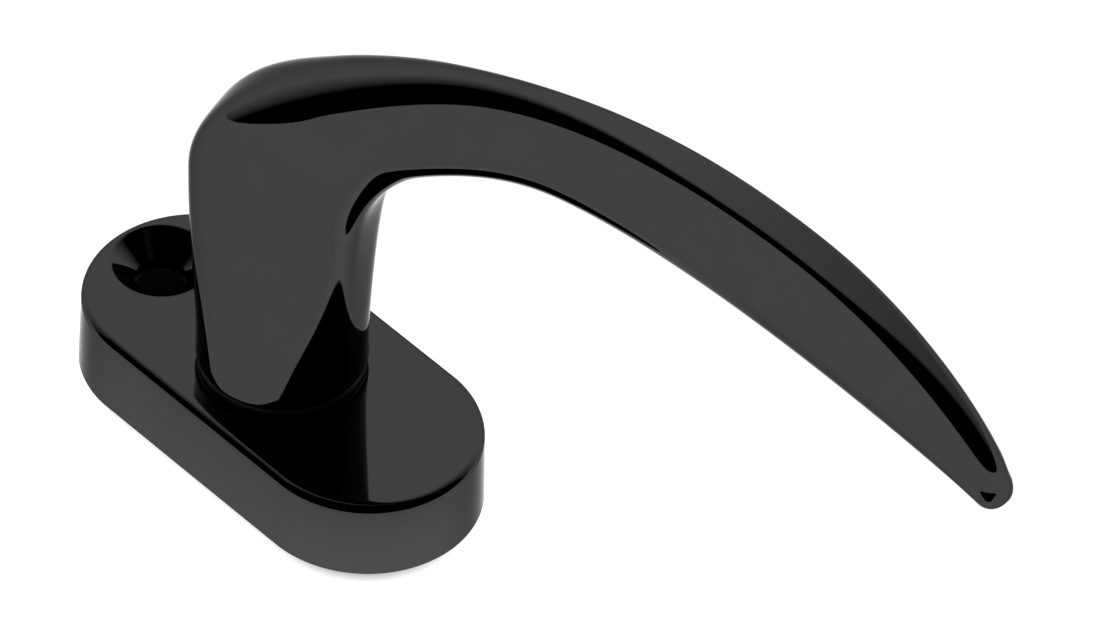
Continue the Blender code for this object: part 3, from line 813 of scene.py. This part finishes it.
@dataclass
class SabreLever:
    """The lever: a neck that turns over into a slim sabre grip, and a shank with a bore.

    The neck is round at its foot and narrows to a flat-sided blade. Outlines are (reach, height)
    in millimetres in the lever's own upright plane, each stretch a cubic through two handles to
    its own end. A pair of numbers is where a change along the lever starts and ends.
    """

    turn: float = 20.0
    neck_radius: float = 10.2
    neck_bottom: float = 11.7
    foot_fillet: float = 0.4
    fillet_steps: int = 4
    outer_start: tuple[float, float] = (-10.2, 12.1)
    outer: tuple[Handles, ...] = (
        ((-10.4, 22.0), (-11.1, 32.0), (-11.2, 40.0)),
        ((-11.3, 46.6), (-5.8, 53.5), (6.0, 59.7)),
        ((17.5, 65.6), (27.0, 67.5), (38.0, 66.9)),
        ((55.5, 65.8), (82.2, 55.7), (92.4, 35.5)),
    )
    inner_start: tuple[float, float] = (10.2, 12.1)
    inner: tuple[Handles, ...] = (
        ((10.0, 18.0), (9.8, 28.0), (10.8, 36.0)),
        ((11.5, 41.6), (13.0, 47.0), (21.0, 50.8)),
        ((25.6, 53.0), (31.0, 54.4), (37.0, 53.6)),
        ((54.5, 51.3), (74.1, 39.4), (89.6, 32.4)),
    )
    turn_over: tuple[float, float] = (-11.0, 3.0)
    slimming: tuple[float, float] = (0.0, 34.0)
    tapering: tuple[float, float] = (48.0, 96.0)
    foot_half_width: float = 10.2
    neck_half_width: float = 6.75
    neck_waisting: tuple[float, float] = (12.0, 38.0)
    squaring: tuple[float, float] = (12.0, 38.0)
    squareness: float = 3.8
    grip_half_width: float = 4.2
    grip_taper: float = 1.1
    widest_drop: float = 0.2
    band_half_width: float = 2.1
    band_growth: tuple[float, float] = (20.0, 58.0)
    band_fading: tuple[float, float] = (68.0, 92.0)
    edge_radius: float = 0.7
    edge_sharpening: tuple[float, float] = (-6.0, 56.0)
    sharpening_power: float = 1.5
    head_rounding: float = 6.3
    tip_rounding: float = 2.1
    tip_growth: tuple[float, float] = (68.0, 92.0)
    fine_steps: int = 60
    top_points: int = 20
    side_points: int = 9
    steps: tuple[int, ...] = (24, 52, 36, 64)
    tip_steps: int = 12
    tip_length: float = 2.3
    tip_lead: float = 0.64
    tip_opening: float = 0.4
    first_tilt: float = 0.2
    most_tilt: float = 1.0
    tilt_rounds: int = 6
    half_points: int = 46
    shank_radius: float = 7.3
    bore_radius: float = 6.0
    bore_clearance: float = 0.3
    sharp_over: float = 40.0

    def build(self, shelf: FinishShelf) -> bpy.types.Object:
        """Models the lever.

        Args:
            shelf: The finishes.

        Returns:
            The lever.
        """
        rings = self.rings()
        bpy.ops.mesh.primitive_circle_add(
            vertices=2 * self.half_points, radius=self.neck_radius * MM, fill_type="NGON"
        )
        lever = name_new("sabre_lever")
        self.lay_first_ring(lever, rings[0])
        self.draw_out(lever, rings)
        self.add_shank(lever)
        mend_normals(lever)
        smooth(lever, self.sharp_over)
        return shelf.hand_over(lever, GlossBlack(), Body.HANDLE, "lever_handle")

    def lay_first_ring(self, lever: bpy.types.Object, ring: list[Vector]) -> None:
        """Sets the starting disc to the foot of the neck.

        Args:
            lever: The disc.
            ring: The places of its points, in order.
        """
        for vertex, place in zip(lever.data.vertices, ring):
            vertex.co = place

    def draw_out(self, lever: bpy.types.Object, rings: list[list[Vector]]) -> None:
        """Extrudes the disc ring by ring, and sets each ring to its section.

        Args:
            lever: The disc.
            rings: The sections, from the foot of the neck to the tip.
        """
        open_mesh(lever)
        bpy.ops.mesh.select_mode(type="FACE")
        bpy.ops.mesh.select_all(action="SELECT")
        for before, after in zip(rings, rings[1:]):
            bpy.ops.mesh.extrude_region_move()
            mesh = bmesh.from_edit_mesh(lever.data)
            places = {self.key(old): new for old, new in zip(before, after)}
            for vertex in [v for v in mesh.verts if v.select]:
                vertex.co = places[self.key(vertex.co)]
            bmesh.update_edit_mesh(lever.data)
        bpy.ops.mesh.poke()
        close_mesh()

    @staticmethod
    def key(place: Vector) -> tuple[int, int, int]:
        """Returns a place as whole steps of a tenth of a micron, to find a point again."""
        return tuple(round(value * 1.0e7) for value in Vector(place))

    def add_shank(self, lever: bpy.types.Object) -> None:
        """Insets the foot of the neck and draws the shank and its bore from it.

        Args:
            lever: The lever.
        """
        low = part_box("lever_handle")[0][2]
        bore_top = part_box("drive_sleeve")[1][2] + self.bore_clearance * MM
        step = self.neck_radius - self.foot_fillet - self.shank_radius
        open_mesh(lever)
        pick_faces(lever, lambda face: face.normal.z < -0.9 and len(face.verts) > 8)
        bpy.ops.mesh.inset(thickness=step * MM)
        bpy.ops.mesh.extrude_region_move(
            TRANSFORM_OT_translate={"value": (0.0, 0.0, low - self.neck_bottom * MM)}
        )
        bpy.ops.mesh.inset(thickness=(self.shank_radius - self.bore_radius) * MM)
        bpy.ops.mesh.extrude_region_move(
            TRANSFORM_OT_translate={"value": (0.0, 0.0, bore_top - low)}
        )
        close_mesh()

    def outline_points(
        self, start: tuple[float, float], chain: tuple[Handles, ...]
    ) -> list[tuple[float, float]]:
        """Points along a side outline, whose spacing changes smoothly from stretch to stretch.

        Args:
            start: The first point.
            chain: The cubic stretches.

        Returns:
            The points, with self.steps to each stretch.
        """
        here = Vector(start)
        dense = [here]
        ends = [0]
        for corners in chain:
            first, second, end = (Vector(corner) for corner in corners)
            for i in range(1, self.fine_steps + 1):
                t = i / self.fine_steps
                u = 1 - t
                dense.append(
                    here * u**3 + first * (3 * u * u * t) + second * (3 * u * t * t) + end * t**3
                )
            here = end
            ends.append(len(dense) - 1)
        lengths = [0.0]
        for before, after in zip(dense, dense[1:]):
            lengths.append(lengths[-1] + (after - before).length)
        places = self.even_out([lengths[k] for k in ends])
        points = []
        k = 0
        for place in places:
            while k < len(lengths) - 2 and lengths[k + 1] < place:
                k += 1
            t = (place - lengths[k]) / (lengths[k + 1] - lengths[k])
            point = dense[k].lerp(dense[k + 1], min(max(t, 0.0), 1.0))
            points.append((point.x, point.y))
        return points

    def even_out(self, knots: list[float]) -> list[float]:
        """Lengths along an outline, from a monotone cubic through its stretches' ends.

        Args:
            knots: The length at each stretch's end, with 0 first.

        Returns:
            The length at each point.
        """
        spans = list(self.steps)
        slopes = [(b - a) / n for a, b, n in zip(knots, knots[1:], spans)]
        speeds = [slopes[0]]
        for before, after, n, m in zip(slopes, slopes[1:], spans, spans[1:]):
            first, second = 2 * m + n, m + 2 * n
            speeds.append((first + second) / (first / before + second / after))
        speeds.append(slopes[-1])
        lengths = [knots[0]]
        for k, n in enumerate(spans):
            for i in range(1, n + 1):
                t = i / n
                lengths.append(
                    knots[k] * (1 + 2 * t) * (1 - t) ** 2
                    + knots[k + 1] * t * t * (3 - 2 * t)
                    + speeds[k] * n * t * (1 - t) ** 2
                    - speeds[k + 1] * n * t * t * (1 - t)
                )
        return lengths

    def rings(self) -> list[list[Vector]]:
        """Returns the lever's sections as rings of places in the frame, in metres."""
        outer = self.outline_points(self.outer_start, self.outer)
        inner = self.outline_points(self.inner_start, self.inner)
        rings = []
        for i in range(self.fillet_steps):
            angle = math.pi / 2 * i / self.fillet_steps
            radius = self.neck_radius - self.foot_fillet * (1 - math.sin(angle))
            height = self.neck_bottom + self.foot_fillet * (1 - math.cos(angle))
            rings.append(self.round_ring(radius, height))
        for (ox, oz), (ix, iz) in zip(outer, inner):
            rings.append(self.section_ring(Vector((ox, 0.0, oz)), Vector((ix, 0.0, iz))))
        rings += self.tip_rings(outer[-1], inner[-1], rings[-1])
        turn = Matrix.Rotation(math.radians(self.turn), 3, "Z")
        return [[turn @ point * MM for point in ring] for ring in rings]

    def round_ring(self, radius: float, height: float) -> list[Vector]:
        """Returns a round section of the neck, which starts at its back."""
        ring = []
        for i in range(2 * self.half_points):
            angle = math.pi * i / self.half_points
            ring.append(Vector((-radius * math.cos(angle), -radius * math.sin(angle), height)))
        return ring

    @staticmethod
    def ramp(low: float, high: float, value: float) -> float:
        """Returns 0 below low, 1 above high, and a straight change between them."""
        return min(max((value - low) / (high - low), 0.0), 1.0)

    @classmethod
    def ease(cls, low: float, high: float, value: float) -> float:
        """Returns 0 below low, 1 above high, and an even ease between them."""
        t = cls.ramp(low, high, value)
        return t * t * (3 - 2 * t)

    def section_ring(self, top: Vector, bottom: Vector) -> list[Vector]:
        """The section between a point of the crest and a point of the underside.

        Args:
            top: The point on the crest.
            bottom: The point on the underside.

        Returns:
            The ring, in millimetres in the lever's own plane.
        """
        middle = (top + bottom) / 2
        rise = (top - bottom) / 2
        half_depth = rise.length
        axis = rise.normalized()
        lean = self.ease(*self.turn_over, top.x)
        slim = self.ease(*self.slimming, middle.x)
        taper = self.ease(*self.tapering, middle.x)
        flare = 1 - self.ramp(*self.neck_waisting, top.z)
        neck = self.neck_half_width + (self.foot_half_width - self.neck_half_width) * flare**2
        power = 2 / (2 + (self.squareness - 2) * self.ease(*self.squaring, top.z))
        width = neck * (1 - slim) + (self.grip_half_width - self.grip_taper * taper) * slim
        band = self.band_half_width * self.ease(*self.band_growth, top.x)
        band *= 1 - self.ease(*self.band_fading, top.x)
        blunt = 1 - self.ramp(*self.edge_sharpening, top.x)
        edge = self.edge_radius + self.head_rounding * blunt**self.sharpening_power
        edge += self.tip_rounding * self.ease(*self.tip_growth, top.x)
        section = self.grip_section(width, half_depth, band, edge)
        ring = []
        count = 2 * self.half_points
        for i in range(count):
            k = i if i <= self.half_points else count - i
            sign = -1.0 if i <= self.half_points else 1.0
            angle = math.pi * k / self.half_points
            across = abs(math.sin(angle)) ** power
            up = math.copysign(abs(math.cos(angle)) ** power, math.cos(angle))
            side = width * across * (1 - lean) + section[k][0] * lean
            height = half_depth * up * (1 - lean) + section[k][1] * lean
            ring.append(middle + axis * height + Vector((0.0, sign * side, 0.0)))
        return ring

    def grip_section(
        self, half_width: float, half_depth: float, band: float, edge: float
    ) -> list[tuple[float, float]]:
        """Half of the grip's section, from the middle of its top to its bottom.

        A flat band on top rounds over into a straight side, which leans out to the half width and
        runs smoothly into an elliptical underside.

        Args:
            half_width: Half its width.
            half_depth: Half its depth.
            band: Half the width of the flat band on top.
            edge: The radius between the band and the side.

        Returns:
            (side, rise) points.
        """
        widest = -self.widest_drop * half_depth
        under = half_depth + widest
        edge = min(edge, half_depth)
        tilt = self.first_tilt
        for _ in range(self.tilt_rounds):
            start = (band + edge * math.cos(tilt), half_depth - edge + edge * math.sin(tilt))
            meet = math.atan(under / half_width * math.tan(tilt))
            end = (half_width * math.cos(meet), widest + under * math.sin(meet))
            tilt = min(math.atan2(end[0] - start[0], start[1] - end[1]), self.most_tilt)
        length = band + edge * (math.pi / 2 - tilt)
        points = []
        for i in range(self.top_points + 1):
            distance = length * i / self.top_points
            if distance < band:
                points.append((distance, half_depth))
                continue
            angle = math.pi / 2 - (distance - band) / edge
            height = half_depth - edge + edge * math.sin(angle)
            points.append((band + edge * math.cos(angle), height))
        for i in range(1, self.side_points + 1):
            t = i / self.side_points
            points.append(
                (start[0] + (end[0] - start[0]) * t, start[1] + (end[1] - start[1]) * t)
            )
        steps = self.half_points - self.top_points - self.side_points
        for i in range(1, steps + 1):
            angle = -meet + (math.pi / 2 + meet) * i / steps
            points.append((half_width * math.cos(angle), widest - under * math.sin(angle)))
        points[-1] = (0.0, -half_depth)
        return points

    def tip_rings(
        self, top: tuple[float, float], bottom: tuple[float, float], last: list[Vector]
    ) -> list[list[Vector]]:
        """The last section drawn in to a rounded end, which carries on the taper of its depth.

        Args:
            top: The crest's last point.
            bottom: The underside's last point.
            last: The last section.

        Returns:
            The rings of the rounded end.
        """
        high = Vector((top[0], 0.0, top[1]))
        low = Vector((bottom[0], 0.0, bottom[1]))
        middle = (high + low) / 2
        rise = (high - low).normalized()
        forward = Vector((rise.z, 0.0, -rise.x))
        rings = []
        for i in range(1, self.tip_steps + 1):
            angle = math.pi / 2 * i / (self.tip_steps + self.tip_opening)
            along = math.sin(angle)
            reached = self.tip_lead + (1 - self.tip_lead) * along
            shrink = math.sqrt((1 - reached**2) / (1 - self.tip_lead**2))
            ring = []
            for point in last:
                offset = point - middle
                depth = rise * offset.dot(rise)
                place = middle + depth * shrink + (offset - depth) * math.cos(angle)
                ring.append(place + forward * self.tip_length * along)
            rings.append(ring)
        return rings


# ---------------------------------------------------------------- mechanism


@dataclass
class Mechanism:
    """The carried-over inner parts, each with its own finish."""

    def build(self, shelf: FinishShelf) -> None:
        """Dresses every CAD node by its slot in the record.

        Args:
            shelf: The finishes.
        """
        finishes: dict[str, Finish] = {
            finish.slot.value: finish
            for finish in (GlossBlack(), MouldedNylon(), CastZinc(), PlatedSteel(), SpringSteel())
        }
        for part in frame["record"]["subparts"]:
            node = frame["nodes"][part["node"]]
            finish = finishes[part["material_slot"]]
            shelf.dress(node, finish)
            LOG.info("%s: carried over in %s", part["node"], finish.slot.value)


# ---------------------------------------------------------------- studio


@dataclass
class Studio:
    """A white floor, with a painted pool of light round the rosette and painted shade under it, and
    a white backdrop, with a dark room on the camera's side.
    """

    azimuth: float = 45.35
    elevation: float = 44.03
    roll: float = -2.94
    distance: float = 1.3112
    lens: float = 362.5
    aim_right: float = 0.03216
    aim_up: float = 0.01199
    dark_until: float = 0.05
    white_from: float = 0.60
    # Painted light and shade on the floor: how bright and how wide the painted pool of light round
    # the rosette is, and how wide the painted shade under its edge is.
    painted_pool_brightness: float = 1.5
    painted_pool_width: float = 16.0 * MM
    painted_shade_width: float = 4.0 * MM
    floor_size: float = 6.0
    floor_gap: float = 0.2 * MM
    floor_grey: float = 0.1

    def build(self) -> None:
        """Adds the camera, the floor and the light."""
        self.add_camera()
        self.add_floor()
        self.add_surround()
        bpy.context.scene.view_settings.view_transform = "Standard"

    def towards_camera(self) -> Vector:
        """Returns the direction from the handle to the camera."""
        a = math.radians(self.azimuth)
        e = math.radians(self.elevation)
        return Vector((math.sin(a) * math.cos(e), -math.cos(a) * math.cos(e), math.sin(e)))

    def behind(self) -> Vector:
        """Returns the level direction from the camera's side to the white backdrop."""
        a = math.radians(self.azimuth)
        return Vector((-math.sin(a), math.cos(a), 0.0))

    def add_camera(self) -> None:
        """Adds the camera, rolled a little about its own axis."""
        back = self.towards_camera()
        a = math.radians(self.azimuth)
        level = Vector((math.cos(a), math.sin(a), 0.0))
        upright = back.cross(level)
        roll = math.radians(self.roll)
        right = level * math.cos(roll) - upright * math.sin(roll)
        up = level * math.sin(roll) + upright * math.cos(roll)
        data = bpy.data.cameras.new("camera")
        data.lens = self.lens
        data.clip_start = 0.01
        data.clip_end = 20.0
        camera = bpy.data.objects.new("camera", data)
        bpy.context.scene.collection.objects.link(camera)
        place = right * self.aim_right + up * self.aim_up + back * self.distance
        axes = Matrix((right, up, back)).transposed()
        camera.matrix_world = Matrix.Translation(place) @ axes.to_4x4()
        bpy.context.scene.camera = camera

    def add_floor(self) -> None:
        """Adds the pale floor, just under the pips, with its painted pool of light and painted
        shade.
        """
        height = CAD_BOX[0][2] - self.floor_gap
        bpy.ops.mesh.primitive_plane_add(size=self.floor_size, location=(0.0, 0.0, height))
        floor = name_new("studio_floor")
        board = NodeBoard("studio_floor")
        board.shader.inputs["Base Color"].default_value = (*([self.floor_grey] * 3), 1.0)
        board.shader.inputs["Roughness"].default_value = 1.0
        board.shader.inputs["Specular IOR Level"].default_value = 0.0
        board.shader.inputs["Emission Color"].default_value = (1.0, 1.0, 1.0, 1.0)
        # Painted light: the floor's glow carries a painted pool of light round the rosette and
        # painted shade under it.
        board.join(self.painted_pool_and_shade(board), board.shader.inputs["Emission Strength"])
        floor.data.materials.append(board.material)

    def painted_pool_and_shade(self, board: NodeBoard) -> bpy.types.NodeSocket:
        """Paints a pool of light on the floor close round the rosette, and paints shade on it
        underneath.

        Args:
            board: The floor's material.

        Returns:
            The floor's glow, with the painted pool of light and the painted shade.
        """
        half_length, half_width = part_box("rosette_cover")[1][:2]
        split = board.node("SeparateXYZ")
        board.join(board.place((1.0, 1.0, 1.0)), split.inputs["Vector"])
        reach = board.node("Math", operation="ABSOLUTE")
        board.join(split.outputs["X"], reach.inputs[0])
        beyond = board.node("Math", operation="SUBTRACT")
        board.join(reach.outputs["Value"], beyond.inputs[0])
        beyond.inputs[1].default_value = half_length - half_width
        outside = board.node("Math", operation="MAXIMUM")
        board.join(beyond.outputs["Value"], outside.inputs[0])
        outside.inputs[1].default_value = 0.0
        both = board.node("CombineXYZ")
        board.join(outside.outputs["Value"], both.inputs["X"])
        board.join(split.outputs["Y"], both.inputs["Y"])
        distance = board.node("VectorMath", operation="LENGTH")
        board.join(both.outputs["Vector"], distance.inputs[0])
        length = distance.outputs["Value"]
        # Painted light: the floor glows up to half again as bright close round the rosette, fading
        # out over the pool's width.
        painted_pool = board.spread(
            length, self.painted_pool_brightness, 1.0, half_width, half_width + self.painted_pool_width
        )
        # Painted shade: the floor's glow falls to nothing under the rosette's edge.
        painted_shade = board.spread(length, 0.0, 1.0, half_width - self.painted_shade_width, half_width)
        light = board.node("Math", operation="MULTIPLY")
        board.join(painted_pool, light.inputs[0])
        board.join(painted_shade, light.inputs[1])
        return light.outputs["Value"]

    def add_surround(self) -> None:
        """Lights the scene from a white backdrop that fades to a dark room."""
        world = bpy.data.worlds.new("studio")
        bpy.context.scene.world = world
        world.use_nodes = True
        tree = world.node_tree
        tree.nodes.clear()
        coordinates = tree.nodes.new("ShaderNodeTexCoord")
        dot = tree.nodes.new("ShaderNodeVectorMath")
        dot.operation = "DOT_PRODUCT"
        dot.inputs[1].default_value = self.behind()
        tree.links.new(coordinates.outputs["Generated"], dot.inputs[0])
        zone = tree.nodes.new("ShaderNodeMapRange")
        zone.inputs["From Min"].default_value = self.dark_until
        zone.inputs["From Max"].default_value = self.white_from
        tree.links.new(dot.outputs["Value"], zone.inputs["Value"])
        rays = tree.nodes.new("ShaderNodeLightPath")
        seen = tree.nodes.new("ShaderNodeMath")
        seen.operation = "MAXIMUM"
        tree.links.new(zone.outputs["Result"], seen.inputs[0])
        tree.links.new(rays.outputs["Is Camera Ray"], seen.inputs[1])
        light = tree.nodes.new("ShaderNodeBackground")
        tree.links.new(seen.outputs["Value"], light.inputs["Strength"])
        output = tree.nodes.new("ShaderNodeOutputWorld")
        tree.links.new(light.outputs["Background"], output.inputs["Surface"])
        light.inputs["Color"].default_value = (1.0, 1.0, 1.0, 1.0)


def main() -> None:
    """Builds the handle and its studio."""
    logging.basicConfig(level=logging.INFO, format="%(name)s: %(message)s")
    shelf = FinishShelf()
    Mechanism().build(shelf)
    RosetteCover().build(shelf)
    BearingBush().build(shelf)
    SabreLever().build(shelf)
    Studio().build()
    clear_selection()


if __name__ == "__main__":
    main()
